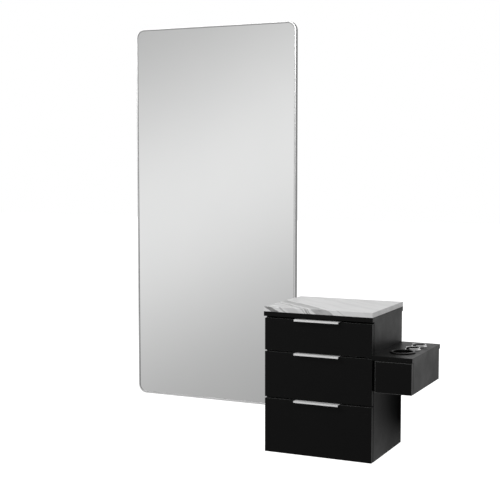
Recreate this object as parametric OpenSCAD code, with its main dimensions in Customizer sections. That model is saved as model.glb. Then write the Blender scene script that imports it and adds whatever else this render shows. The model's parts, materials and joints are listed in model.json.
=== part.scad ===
// Wall-hung salon styling station: a full-length mirror, a three-drawer cabinet under a
// stone slab, and a side box that holds a hair dryer and two hot irons.
//
// X runs to the right, Y into the wall and Z up. The wall is the plane y = 0. The origin is
// the middle of the screw line of the cabinet's wall bar.

/* [Cabinet] */
// Width of the stone slab and of the sub-top
cab_w = 457; // [440:1:480]
// Depth of the slab and of the sub-top, out from the wall
cab_d = 381; // [378:1:420]
// Height from the cabinet's underside to the top of the slab
cab_h = 587; // [570:1:620]
// Height of the slab's top above the wall screws
slab_above_screws = 75; // [70:1:90]
// Thickness of the stone slab
slab_t = 20; // [18:1:25]
// Thickness of the board that the panels are cut from
panel_t = 18; // [16:1:19]
// How far the sub-top reaches past each side panel
side_reach = 2; // [1:0.5:4]
// How far the sub-top reaches past the drawer fronts
front_reach = 5; // [4:1:12]
// Clear space between the wall and the cabinet's back
wall_gap = 6; // [6:1:8]
// Clear space between a front and the panel edges behind it
front_clear = 2; // [1.5:0.5:3]

/* [Drawers] */
// Height of the top drawer's front
top_front_h = 129; // [120:1:135]
// Height of the middle drawer's front
middle_front_h = 183; // [175:1:190]
// Gap between one front and the next
front_gap = 6; // [5:0.5:8]
// Gap between the sub-top and the top drawer's front
head_gap = 7; // [6:0.5:9]
// How far a front's end stands in from the sub-top's end
front_inset = 3; // [2.5:0.5:6]
// Depth of a drawer box
drawer_d = 300; // [280:5:310]
// Thickness of the drawer box's sides and ends
drawer_t = 15; // [12:1:16]
// Thickness of a drawer's bottom
drawer_bottom_t = 6; // [4:0.5:8]
// Length of a slide, and its full travel
slide_len = 300; // [280:5:300]
// Thickness of a slide, from the side panel to the drawer
slide_t = 12.7; // [12.5:0.1:13]
// Height of a slide's outer member
slide_h = 45; // [42:1:46]

/* [Handles] */
// Length of an edge pull
handle_len = 186; // [150:2:220]
// How far a pull stands out in front of the drawer front
handle_reach = 20; // [14:1:25]
// Height of a pull's front lip
handle_lip = 7; // [6:0.5:9]
// Height of the flange behind the drawer front
handle_flange = 14; // [12:1:16]
// Thickness of the pull's metal
handle_t = 2; // [1.5:0.5:2.5]

/* [Tool box] */
// How far the box's lid plate reaches past the cabinet's slab
tool_w = 158; // [150:1:175]
// Height of the box with its lid plate
tool_h = 142; // [138:1:150]
// Height of the slab's top above the lid plate's top
tool_drop = 165; // [163:1:168]
// How far the lid plate reaches past the box door
door_reach = 2; // [1:0.5:4]
// Gap above the door
door_gap = 2.5; // [2:0.5:4]
// Finger gap between the drawer fronts and the door
finger_gap = 12.5; // [10:0.5:14]
// Clear radius of the dryer ring
dryer_r = 39; // [36:0.5:40]
// Clear radius of an iron cup
iron_r = 25; // [22:0.5:26]
// Distance from the wall to the middle of the dryer ring
dryer_y = 259; // [258:1:270]
// Distances from the wall to the middles of the iron cups
iron_y = [176, 90]; // [80:1:180]
// How far the dryer ring stands to the right of the box's middle
dryer_shift = 3; // [0:1:6]
// How far the iron cups stand to the right of the box's middle
iron_shift = 19; // [10:1:20]

/* [Mirror] */
// Width of the framed mirror
mirror_w = 780; // [700:5:900]
// Height of the framed mirror
mirror_h = 1650; // [1500:10:1800]
// Outer radius of the mirror's corners
mirror_r = 40; // [30:1:50]
// Width of the frame's face
frame_face = 8; // [6:0.5:12]
// Depth of the frame, front to back
frame_d = 20; // [20:1:25]
// Thickness of the frame's metal
frame_t = 2; // [1.5:0.5:2.5]
// Thickness of the glass
glass_t = 6; // [5:0.5:6]
// Gap between the mirror and the cabinet's slab
mirror_gap = 15; // [3:1:20]
// Height of the slab's top above the mirror's lower edge
mirror_drop = 484; // [450:1:520]
// Distance of the upper hanging bar's screws below the mirror's top
upper_bar_drop = 200; // [150:10:250]
// Distance between the screw lines of the mirror's two wall bars
bar_spacing = 1200; // [1000:50:1250]

/* [Hidden] */
$fn = 48;

// Turns that point a screw, laid along +Z, the way that it is driven
TO_RIGHT = [0, 90, 0];
TO_LEFT = [0, -90, 0];
TO_FRONT = [90, 0, 0];
UPWARDS = [0, 0, 0];

// Cabinet levels
slab_top = slab_above_screws;
slab_under = slab_top - slab_t;
carcass_top = slab_under - panel_t;
cab_under = slab_top - cab_h;

// Cabinet faces
side_x = cab_w / 2 - side_reach;
inner_x = side_x - panel_t;
side_mid_x = side_x - panel_t / 2;
front_x = cab_w / 2 - front_inset;
front_y = -cab_d + front_reach;
front_back_y = front_y + panel_t;
edge_y = front_back_y + front_clear;
back_y = -wall_gap;
back_inner_y = back_y - panel_t;

// Drawer fronts, from the top one down
bottom_front_h = carcass_top - head_gap - top_front_h - middle_front_h - 2 * front_gap - cab_under;
front_h = [top_front_h, middle_front_h, bottom_front_h];
front_top = [
    carcass_top - head_gap,
    carcass_top - head_gap - top_front_h - front_gap,
    cab_under + bottom_front_h
];

// Drawer boxes, which stand a little above the fronts' lower edges
box_rise = 9;
box_under = [
    front_top[0] - front_h[0] + box_rise,
    front_top[1] - front_h[1] + box_rise,
    cab_under + panel_t + box_rise
];
box_h = [90, 130, 160];
box_x = inner_x - slide_t;
box_end_y = front_back_y + drawer_d;

// Slides: three nested channels of 1.2 mm steel
slide_web = 1.2;
slide_front_y = edge_y + 2;
slide_rise = 33;
slide_z = [for (low = box_under) low + slide_rise];
slide_holes = [slide_front_y + 22, slide_front_y + slide_len - 40];

// Screws and dowels
screw_r = 1.8;
screw_head_r = 3.5;
screw_head_h = 1.8;
screw_play = 0.1;
dowel_r = 4;
dowel_len = 30;
dowel_play = 0.1;
dowel_rows = [-300, -80];
wall_hole_r = 2.75;
wall_hole_spacing = 406.4;

// Hanging bars: two 3 mm Z-bars that hook together in the wall gap
bar_t = wall_gap / 2;
bar_hook_top = 23;
bar_flange_top = min(46, carcass_top - 0.5);
bar_screw_rise = (bar_hook_top + bar_flange_top) / 2;
cab_bar_len = 430;
cab_bar_screws = [-170, 170];
spacer_h = 40;
spacer_z = cab_under + panel_t + 60;
spacer_hole_spacing = 360;

// Side box
tool_top = slab_top - tool_drop;
tool_under = tool_top - tool_h;
tool_plate_under = tool_top - panel_t;
tool_plate_x = cab_w / 2 + tool_w;
tool_x = tool_plate_x - side_reach;
tool_in_left = side_x + panel_t;
tool_in_right = tool_x - panel_t;
tool_mid_x = (side_x + tool_plate_x) / 2;
door_x = front_x + finger_gap;
door_y = -cab_d + door_reach;
door_back_y = door_y + panel_t;
tool_edge_y = door_back_y + front_clear;
door_top = tool_plate_under - door_gap;
bolt_r = 3;
bolt_spots = [[-290, -200], [-290, -125], [-90, -200], [-90, -125]];

// Door hinge: a narrow continuous hinge under the door's lower edge
hinge_r = 2;
hinge_pin_r = 1.1;
hinge_bore_r = 1.16;
hinge_leaf_t = 0.8;
hinge_leaf_h = 14;
hinge_y = tool_edge_y - front_clear / 2;
hinge_z = tool_under - hinge_r - 0.2;
hinge_x = tool_in_left + 2;
hinge_len = tool_in_right - tool_in_left - 4;
hinge_knuckles = 5;
knuckle_len = hinge_len / hinge_knuckles;
knuckle_gap = 0.4;

// Rings in the lid plate
ring_wall = 3;
ring_flange = 11;
ring_edge_r = 2.5;
ring_depth = 30;
cup_wall = 1;
cup_depth = 92;
cup_flange = 6;
cup_bead_r = 1.75;
cup_collar = 7.25;
cup_vent_r = 8;
ring_play = 0.3;

// Mirror
mirror_x = -cab_w / 2 - mirror_gap - mirror_w / 2;
mirror_low = slab_top - mirror_drop;
mirror_z = mirror_low + mirror_h / 2;
upper_bar_z = mirror_low + mirror_h - upper_bar_drop;
lower_bar_z = upper_bar_z - bar_spacing;
mirror_bar_len = 500;
mirror_bar_screws = [-180, 180];
glass_play = 0.5;

// ---- Shapes that repeat ----

module block(x, y, z) {
    translate([x[0], y[0], z[0]])
        cube([x[1] - x[0], y[1] - y[0], z[1] - z[0]]);
}

module both_sides() {
    children();
    mirror([1, 0, 0]) children();
}

// A screw whose head rests on the point and whose shank is driven along the turn
module screw(point, turn, length) {
    translate(point) rotate(turn) {
        translate([0, 0, -screw_head_h]) cylinder(h = screw_head_h, r = screw_head_r);
        cylinder(h = length, r = screw_r);
    }
}

module screw_hole(point, turn, length) {
    translate(point) rotate(turn)
        translate([0, 0, -1]) cylinder(h = length + 1.5, r = screw_r + screw_play);
}

// A dowel across a joint: its far end goes `reach` past the joint along the turn
module dowel(point, turn, reach) {
    translate(point) rotate(turn)
        translate([0, 0, reach - dowel_len]) cylinder(h = dowel_len, r = dowel_r);
}

module dowel_hole(point, turn, reach) {
    translate(point) rotate(turn)
        translate([0, 0, reach - dowel_len - 0.5])
            cylinder(h = dowel_len + 1, r = dowel_r + dowel_play);
}

// A flat outline with round corners, centred on the origin
module rounded_outline(w, h, r) {
    square([w - 2 * r, h], center = true);
    square([w, h - 2 * r], center = true);
    for (x = [-1, 1], y = [-1, 1])
        translate([x * (w / 2 - r), y * (h / 2 - r)]) circle(r = r);
}

// The same outline as an upright plate whose back is at `back`
module upright_plate(w, h, r, back, t) {
    translate([mirror_x, back, mirror_z]) rotate([90, 0, 0])
        linear_extrude(t) rounded_outline(w, h, r);
}

// A profile drawn in Y and Z, drawn out along X from x
module drawn_along_x(x, length) {
    translate([x, 0, 0]) rotate([90, 0, 90]) linear_extrude(length) children();
}

// The bar that is screwed to the wall, with its screw line at z
module wall_bar(x, z, length) {
    difference() {
        drawn_along_x(x - length / 2, length)
            translate([0, z]) polygon([
                [0, -12], [0, 11], [-bar_t, 11], [-bar_t, 20],
                [-2 * bar_t, 20], [-2 * bar_t, 8], [-bar_t, 8], [-bar_t, -12]
            ]);
        for (side = [-1, 1])
            translate([x + side * wall_hole_spacing / 2, 1, z]) rotate(TO_FRONT)
                cylinder(h = bar_t + 2, r = wall_hole_r);
    }
}

// The bar that hooks over a wall bar whose screw line is at z
module hanging_bar(x, z, length, spots) {
    difference() {
        drawn_along_x(x - length / 2, length)
            translate([0, z]) polygon([
                [-2 * bar_t, 20], [-2 * bar_t, bar_flange_top], [-bar_t, bar_flange_top],
                [-bar_t, bar_hook_top], [0, bar_hook_top],
                [0, 11.5], [-bar_t, 11.5], [-bar_t, 20]
            ]);
        for (spot = spots) bar_screw_hole(x + spot, z);
    }
}

module bar_screw(x, z) {
    screw([x, -bar_t, z + bar_screw_rise], TO_FRONT, bar_t + 9);
}

module bar_screw_hole(x, z) {
    screw_hole([x, -bar_t, z + bar_screw_rise], TO_FRONT, bar_t + 9);
}

// ---- Mirror ----

module mirror_glass() {
    color("lightgray")
        upright_plate(
            mirror_w - 2 * frame_t - 2 * glass_play, mirror_h - 2 * frame_t - 2 * glass_play,
            mirror_r - frame_t - glass_play, -wall_gap - frame_d + frame_t + glass_t, glass_t
        );
}

module mirror_frame() {
    color("silver") difference() {
        upright_plate(mirror_w, mirror_h, mirror_r, -wall_gap, frame_d);
        upright_plate(
            mirror_w - 2 * frame_t, mirror_h - 2 * frame_t, mirror_r - frame_t,
            -wall_gap + 1, frame_d - frame_t + 1
        );
        upright_plate(
            mirror_w - 2 * frame_face, mirror_h - 2 * frame_face, mirror_r - frame_face,
            0, wall_gap + frame_d + 1
        );
    }
}

module mirror_backing_board() {
    color("tan") difference() {
        upright_plate(
            mirror_w - 2 * frame_t - 2 * glass_play, mirror_h - 2 * frame_t - 2 * glass_play,
            mirror_r - frame_t - glass_play, -wall_gap, frame_d - frame_t - glass_t
        );
        for (z = [upper_bar_z, lower_bar_z], spot = mirror_bar_screws)
            bar_screw_hole(mirror_x + spot, z);
    }
}

module mirror_hanging_bars() {
    color("gainsboro")
        for (z = [upper_bar_z, lower_bar_z])
            hanging_bar(mirror_x, z, mirror_bar_len, mirror_bar_screws);
}

module mirror_wall_bars() {
    color("gainsboro")
        for (z = [upper_bar_z, lower_bar_z]) wall_bar(mirror_x, z, mirror_bar_len);
}

module mirror_bar_screws() {
    color("darkgray")
        for (z = [upper_bar_z, lower_bar_z], spot = mirror_bar_screws)
            bar_screw(mirror_x + spot, z);
}

module mirror_bumpers() {
    color("dimgray")
        for (side = [-1, 1])
            translate([mirror_x + side * (mirror_w / 2 - 60), 0, mirror_low + 60])
                rotate(TO_FRONT) cylinder(h = wall_gap, r = 12);
}

// ---- Cabinet carcass ----

module side_dowel_holes() {
    for (y = dowel_rows) {
        dowel_hole([side_mid_x, y, carcass_top], UPWARDS, 10);
        dowel_hole([inner_x, y, cab_under + panel_t / 2], TO_RIGHT, 12);
    }
}

module back_screws(x, z_list) {
    for (z = z_list) screw([x, back_y, z], TO_FRONT, 42);
}

module back_screw_holes(x, z_list) {
    for (z = z_list) screw_hole([x, back_y, z], TO_FRONT, 42);
}

cab_back_rows = [carcass_top - 60, (carcass_top + cab_under) / 2 + 60, cab_under + 60];
tool_back_rows = [tool_plate_under - 20, tool_under + 20];

module slide_screw_holes() {
    for (z = slide_z, y = slide_holes)
        screw_hole([inner_x - slide_web, y, z], TO_RIGHT, slide_web + 12);
}

module marble_top() {
    color("whitesmoke")
        block([-cab_w / 2, cab_w / 2], [-cab_d, 0], [slab_under, slab_top]);
}

module sub_top() {
    color("black") difference() {
        block([-cab_w / 2, cab_w / 2], [-cab_d, 0], [carcass_top, slab_under]);
        both_sides() side_dowel_holes();
    }
}

module side_panel() {
    difference() {
        block([inner_x, side_x], [edge_y, back_inner_y], [cab_under, carcass_top]);
        side_dowel_holes();
        slide_screw_holes();
        back_screw_holes(side_mid_x, cab_back_rows);
    }
}

module bolt_hole(spot) {
    translate([inner_x - 1, spot[0], spot[1]]) rotate(TO_RIGHT)
        cylinder(h = 2 * panel_t + 2, r = bolt_r + screw_play);
}

module left_side_panel() {
    color("black") mirror([1, 0, 0]) side_panel();
}

module right_side_panel() {
    color("black") difference() {
        side_panel();
        for (spot = bolt_spots) bolt_hole(spot);
    }
}

module bottom_panel() {
    color("black") difference() {
        block([-inner_x, inner_x], [edge_y, back_inner_y], [cab_under, cab_under + panel_t]);
        both_sides() side_dowel_holes();
    }
}

module back_panel() {
    color("black") difference() {
        block([-side_x, side_x], [back_inner_y, back_y], [cab_under, carcass_top]);
        both_sides() back_screw_holes(side_mid_x, cab_back_rows);
        for (spot = cab_bar_screws) bar_screw_hole(spot, 0);
        spacer_holes();
    }
}

module spacer_holes() {
    for (side = [-1, 1])
        translate([side * spacer_hole_spacing / 2, 1, spacer_z]) rotate(TO_FRONT)
            cylinder(h = wall_gap + panel_t + 2, r = wall_hole_r);
}

module cabinet_hanging_bar() {
    color("gainsboro") hanging_bar(0, 0, cab_bar_len, cab_bar_screws);
}

module cabinet_wall_bar() {
    color("gainsboro") wall_bar(0, 0, cab_bar_len);
}

module lower_wall_spacer() {
    color("dimgray") difference() {
        block(
            [-spacer_hole_spacing / 2 - 20, spacer_hole_spacing / 2 + 20], [back_y, 0],
            [spacer_z - spacer_h / 2, spacer_z + spacer_h / 2]
        );
        spacer_holes();
    }
}

module panel_dowels() {
    color("burlywood") {
        for (y = dowel_rows) {
            both_sides() {
                dowel([side_mid_x, y, carcass_top], UPWARDS, 10);
                dowel([inner_x, y, cab_under + panel_t / 2], TO_RIGHT, 12);
            }
            tool_dowels(y);
        }
    }
}

module carcass_screws() {
    color("darkgray") {
        both_sides() {
            back_screws(side_mid_x, cab_back_rows);
            for (z = slide_z, y = slide_holes)
                screw([inner_x - slide_web, y, z], TO_RIGHT, slide_web + 12);
        }
        for (spot = cab_bar_screws) bar_screw(spot, 0);
        for (x = [side_x + panel_t / 2, tool_x - panel_t / 2])
            back_screws(x, tool_back_rows);
    }
}

// ---- Slides ----

// A channel of slide steel: its web starts at x and its flanges reach to the far x
module channel(web_x, tip_x, half_h) {
    wall = web_x < tip_x ? slide_web : -slide_web;
    low = min(web_x, tip_x);
    both_heights(half_h)
        translate([low, -slide_web]) square([abs(tip_x - web_x), slide_web]);
    translate([min(web_x, web_x + wall), -half_h]) square([slide_web, 2 * half_h]);
}

module both_heights(half_h) {
    translate([0, half_h]) children();
    mirror([0, 1]) translate([0, half_h]) children();
}

// A member on each side of a drawer, its profile measured inwards from the side panel
module slide_pair(i) {
    both_sides()
        translate([-inner_x, slide_front_y + slide_len, slide_z[i]]) rotate(TO_FRONT)
            linear_extrude(slide_len) children();
}

module slide_outers(i) {
    color("silver") difference() {
        slide_pair(i) channel(0, 9, slide_h / 2);
        both_sides() slide_screw_holes();
    }
}

module slide_middles(i) {
    color("silver") slide_pair(i) channel(3.5, 11, slide_h / 2 - 4);
}

module slide_inners(i) {
    color("silver") difference() {
        slide_pair(i) channel(slide_t, 6, slide_h / 2 - 8.5);
        drawer_slide_screw_holes(i);
    }
}

// ---- Drawers ----

module drawer_slide_screw_holes(i) {
    both_sides() for (y = slide_holes)
        screw_hole([box_x + slide_web, y, slide_z[i]], TO_LEFT, slide_web + 11);
}

handle_screw_x = [-70, 70];
handle_screw_drop = 9;
front_screw_x = [-120, 120];

function front_screw_z(i) = [box_under[i] + 30, box_under[i] + box_h[i] - 20];

module drawer_front(i) {
    color("black") difference() {
        block([-front_x, front_x], [front_y, front_back_y], [front_top[i] - front_h[i], front_top[i]]);
        handle_screw_holes(i);
        front_screw_holes(i);
    }
}

module handle_screw_holes(i) {
    for (x = handle_screw_x)
        screw_hole(
            [x, front_back_y + handle_t, front_top[i] - handle_screw_drop], TO_FRONT, handle_t + 11
        );
}

module front_screw_holes(i) {
    for (x = front_screw_x, z = front_screw_z(i))
        screw_hole([x, front_back_y + drawer_t, z], TO_FRONT, drawer_t + 11);
}

// An edge pull: a strip bent over the top edge of the drawer front
module drawer_handle(i) {
    back = front_back_y;
    tip = front_y - handle_reach;
    color("silver") difference() {
        drawn_along_x(-handle_len / 2, handle_len)
            translate([0, front_top[i]]) polygon([
                [back + handle_t, -handle_flange], [back + handle_t, handle_t],
                [tip, handle_t], [tip, handle_t - handle_lip],
                [tip + handle_t, handle_t - handle_lip], [tip + handle_t, 0],
                [back, 0], [back, -handle_flange]
            ]);
        handle_screw_holes(i);
    }
}

module drawer_sides(i) {
    color("dimgray") difference() {
        both_sides()
            block(
                [box_x - drawer_t, box_x], [front_back_y, box_end_y],
                [box_under[i] + drawer_bottom_t, box_under[i] + box_h[i]]
            );
        drawer_slide_screw_holes(i);
    }
}

module drawer_ends(i) {
    color("dimgray") difference() {
        for (y = [front_back_y, box_end_y - drawer_t])
            block(
                [drawer_t - box_x, box_x - drawer_t], [y, y + drawer_t],
                [box_under[i] + drawer_bottom_t, box_under[i] + box_h[i]]
            );
        front_screw_holes(i);
    }
}

module drawer_bottom(i) {
    color("gray")
        block(
            [-box_x, box_x], [front_back_y, box_end_y],
            [box_under[i], box_under[i] + drawer_bottom_t]
        );
}

module drawer_screws(i) {
    color("darkgray") {
        for (x = handle_screw_x)
            screw(
                [x, front_back_y + handle_t, front_top[i] - handle_screw_drop], TO_FRONT, handle_t + 11
            );
        for (x = front_screw_x, z = front_screw_z(i))
            screw([x, front_back_y + drawer_t, z], TO_FRONT, drawer_t + 11);
        both_sides() for (y = slide_holes)
            screw([box_x + slide_web, y, slide_z[i]], TO_LEFT, slide_web + 11);
    }
}

// ---- Side box ----

module tool_dowels(y) {
    for (x = [side_x + panel_t / 2, tool_x - panel_t / 2])
        dowel([x, y, tool_plate_under], UPWARDS, 10);
    dowel([tool_in_right, y, tool_under + panel_t / 2], TO_RIGHT, 12);
    dowel([tool_in_left, y, tool_under + panel_t / 2], TO_LEFT, 12);
}

module tool_dowel_holes() {
    for (y = dowel_rows) {
        for (x = [side_x + panel_t / 2, tool_x - panel_t / 2])
            dowel_hole([x, y, tool_plate_under], UPWARDS, 10);
        dowel_hole([tool_in_right, y, tool_under + panel_t / 2], TO_RIGHT, 12);
        dowel_hole([tool_in_left, y, tool_under + panel_t / 2], TO_LEFT, 12);
    }
}

module tool_box_left_panel() {
    color("black") difference() {
        block([side_x, tool_in_left], [tool_edge_y, back_inner_y], [tool_under, tool_plate_under]);
        for (spot = bolt_spots) bolt_hole(spot);
        tool_dowel_holes();
        back_screw_holes(side_x + panel_t / 2, tool_back_rows);
    }
}

module tool_box_right_panel() {
    color("black") difference() {
        block([tool_in_right, tool_x], [tool_edge_y, back_inner_y], [tool_under, tool_plate_under]);
        tool_dowel_holes();
        back_screw_holes(tool_x - panel_t / 2, tool_back_rows);
    }
}

module tool_box_bottom() {
    color("black") difference() {
        block(
            [tool_in_left, tool_in_right], [tool_edge_y, back_inner_y],
            [tool_under, tool_under + panel_t]
        );
        tool_dowel_holes();
    }
}

module tool_box_back() {
    color("black") difference() {
        block([side_x, tool_x], [back_inner_y, back_y], [tool_under, tool_plate_under]);
        for (x = [side_x + panel_t / 2, tool_x - panel_t / 2])
            back_screw_holes(x, tool_back_rows);
    }
}

module tool_box_lid_plate() {
    color("black") difference() {
        block([side_x, tool_plate_x], [-cab_d, 0], [tool_plate_under, tool_top]);
        plate_hole(dryer_shift, dryer_y, dryer_r + ring_wall);
        for (y = iron_y) plate_hole(iron_shift, y, iron_r + cup_wall);
        tool_dowel_holes();
    }
}

module plate_hole(shift, y, r) {
    translate([tool_mid_x + shift, -y, tool_plate_under - 1])
        cylinder(h = panel_t + 2, r = r + ring_play);
}

module tool_box_door() {
    color("black")
        block([door_x, tool_x], [door_y, door_back_y], [tool_under, door_top]);
}

// Knuckles of one leaf, each with the strip that joins it to the leaf
module hinge_leaf(first, leaf_y) {
    difference() {
        union() {
            block(
                [hinge_x, hinge_x + hinge_len], leaf_y,
                [hinge_z + hinge_r + 0.6, tool_under + hinge_leaf_h]
            );
            for (k = [first:2:hinge_knuckles - 1]) {
                x = hinge_x + k * knuckle_len + knuckle_gap / 2;
                length = knuckle_len - knuckle_gap;
                translate([x, hinge_y, hinge_z]) rotate(TO_RIGHT)
                    cylinder(h = length, r = hinge_r);
                block([x, x + length], leaf_y, [hinge_z, hinge_z + hinge_r + 1]);
            }
        }
        translate([hinge_x - 1, hinge_y, hinge_z]) rotate(TO_RIGHT)
            cylinder(h = hinge_len + 2, r = hinge_bore_r);
    }
}

module door_hinge_fixed_leaf() {
    color("dimgray") hinge_leaf(0, [tool_edge_y - hinge_leaf_t, tool_edge_y]);
}

module door_hinge_moving_leaf() {
    color("dimgray") hinge_leaf(1, [door_back_y, door_back_y + hinge_leaf_t]);
}

module door_hinge_pin() {
    color("silver")
        translate([hinge_x, hinge_y, hinge_z]) rotate(TO_RIGHT)
            cylinder(h = hinge_len, r = hinge_pin_r);
}

// Catch on the box's right panel, with a plate on the door that its magnet holds
catch_z = [tool_plate_under - 20, tool_plate_under - 6];
catch_x = [tool_in_right - 15, tool_in_right];
strike_t = 1;
catch_play = 0.4;

module door_catch() {
    color("dimgray")
        block(catch_x, [door_back_y + strike_t + catch_play, tool_edge_y + 32], catch_z);
}

module door_strike_plate() {
    color("silver")
        block([catch_x[0] + 1, catch_x[1] - 1], [door_back_y, door_back_y + strike_t], catch_z);
}

module dryer_ring() {
    color("black") translate([tool_mid_x + dryer_shift, -dryer_y, tool_top])
        rotate_extrude($fn = 96) {
            translate([dryer_r, -ring_depth]) square([ring_wall, ring_depth + ring_edge_r]);
            translate([dryer_r + ring_edge_r, 0])
                square([ring_flange - 2 * ring_edge_r, 2 * ring_edge_r]);
            for (x = [ring_edge_r, ring_flange - ring_edge_r])
                translate([dryer_r + x, ring_edge_r]) circle(r = ring_edge_r);
        }
}

// A plated cup: flange on the plate, collar with a bead, and a vented bottom
module iron_cup(i) {
    color("silver") translate([tool_mid_x + iron_shift, -iron_y[i], tool_top])
        rotate_extrude($fn = 96) {
            translate([iron_r, -cup_depth]) square([cup_wall, cup_depth + cup_collar]);
            translate([iron_r, 0]) square([cup_flange, 1.6]);
            translate([iron_r + cup_bead_r, cup_collar]) circle(r = cup_bead_r);
            translate([cup_vent_r, -cup_depth]) square([iron_r - cup_vent_r + 0.5, 1.5]);
        }
}

module tool_box_bolts() {
    color("silver") for (spot = bolt_spots)
        translate([inner_x, spot[0], spot[1]]) rotate(TO_RIGHT) {
            cylinder(h = 2 * panel_t, r = bolt_r);
            for (z = [-2.5, 2 * panel_t]) translate([0, 0, z]) cylinder(h = 2.5, r = 7);
        }
}

// ---- Assembly ----

mirror_glass();
mirror_frame();
mirror_backing_board();
mirror_hanging_bars();
mirror_wall_bars();
mirror_bar_screws();
mirror_bumpers();
marble_top();
sub_top();
left_side_panel();
right_side_panel();
bottom_panel();
back_panel();
cabinet_hanging_bar();
cabinet_wall_bar();
lower_wall_spacer();
panel_dowels();
carcass_screws();
slide_outers(0);  // top_slide_outers
slide_outers(1);  // middle_slide_outers
slide_outers(2);  // bottom_slide_outers
slide_middles(0);  // top_slide_middles
slide_middles(1);  // middle_slide_middles
slide_middles(2);  // bottom_slide_middles
slide_inners(0);  // top_slide_inners
slide_inners(1);  // middle_slide_inners
slide_inners(2);  // bottom_slide_inners
drawer_front(0);  // top_drawer_front
drawer_front(1);  // middle_drawer_front
drawer_front(2);  // bottom_drawer_front
drawer_handle(0);  // top_drawer_handle
drawer_handle(1);  // middle_drawer_handle
drawer_handle(2);  // bottom_drawer_handle
drawer_sides(0);  // top_drawer_sides
drawer_sides(1);  // middle_drawer_sides
drawer_sides(2);  // bottom_drawer_sides
drawer_ends(0);  // top_drawer_ends
drawer_ends(1);  // middle_drawer_ends
drawer_ends(2);  // bottom_drawer_ends
drawer_bottom(0);  // top_drawer_bottom
drawer_bottom(1);  // middle_drawer_bottom
drawer_bottom(2);  // bottom_drawer_bottom
drawer_screws(0);  // top_drawer_screws
drawer_screws(1);  // middle_drawer_screws
drawer_screws(2);  // bottom_drawer_screws
tool_box_left_panel();
tool_box_right_panel();
tool_box_bottom();
tool_box_back();
tool_box_lid_plate();
tool_box_door();
door_hinge_fixed_leaf();
door_hinge_moving_leaf();
door_hinge_pin();
door_catch();
door_strike_plate();
dryer_ring();
iron_cup(0);  // front_iron_cup
iron_cup(1);  // rear_iron_cup
tool_box_bolts();
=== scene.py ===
"""The looks of a wall-hung salon styling station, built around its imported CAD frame."""

import json
import math

import bmesh
import bpy
from mathutils import Matrix, Vector


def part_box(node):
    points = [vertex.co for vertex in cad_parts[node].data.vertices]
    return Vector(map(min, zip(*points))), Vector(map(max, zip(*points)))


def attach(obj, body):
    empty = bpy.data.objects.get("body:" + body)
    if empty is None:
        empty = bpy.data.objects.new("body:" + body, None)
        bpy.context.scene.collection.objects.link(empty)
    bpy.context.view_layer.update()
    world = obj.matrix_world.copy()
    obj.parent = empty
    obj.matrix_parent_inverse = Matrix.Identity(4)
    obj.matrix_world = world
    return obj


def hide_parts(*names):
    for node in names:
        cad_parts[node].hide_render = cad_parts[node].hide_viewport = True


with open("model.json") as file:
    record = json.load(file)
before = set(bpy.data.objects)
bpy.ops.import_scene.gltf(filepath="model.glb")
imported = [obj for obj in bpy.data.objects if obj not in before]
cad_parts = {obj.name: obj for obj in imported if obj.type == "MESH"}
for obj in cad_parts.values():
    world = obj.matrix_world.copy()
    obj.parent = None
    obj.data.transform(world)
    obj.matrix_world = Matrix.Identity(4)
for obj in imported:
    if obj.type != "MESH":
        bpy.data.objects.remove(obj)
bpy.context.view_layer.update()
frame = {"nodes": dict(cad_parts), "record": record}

MM = 0.001
RECORD = frame["record"]
BODY_OF = {node: body for body, nodes in RECORD["behaviour"]["bodies"].items() for node in nodes}
SLOT_OF = {node: piece.data.materials[0].name for node, piece in frame["nodes"].items()}
DRAWERS = ("top", "middle", "bottom")


# ---- Camera ----

LENS_LENGTH = 80
SENSOR_WIDTH = 36
# What the camera looks at: a little left of the cabinet and below the middle of the mirror
AIM = Vector((-0.3797, -0.190, 0.2815))
CAMERA_TURN = math.radians(25.3)
CAMERA_FALL = math.radians(4.53)
CAMERA_DISTANCE = 4.649


def add_camera():
    lens = bpy.data.cameras.new("camera")
    lens.lens = LENS_LENGTH
    lens.sensor_width = SENSOR_WIDTH
    camera = bpy.data.objects.new("camera", lens)
    bpy.context.scene.collection.objects.link(camera)
    camera.rotation_euler = (math.pi / 2 - CAMERA_FALL, 0, CAMERA_TURN)
    back = camera.rotation_euler.to_matrix() @ Vector((0, 0, 1))
    camera.location = AIM + back * CAMERA_DISTANCE
    bpy.context.scene.camera = camera


add_camera()


# ---- Materials ----

# How deep the fine lines of brushed metal and the film of zinc are
GRAIN_DEPTH = 0.00003


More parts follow.
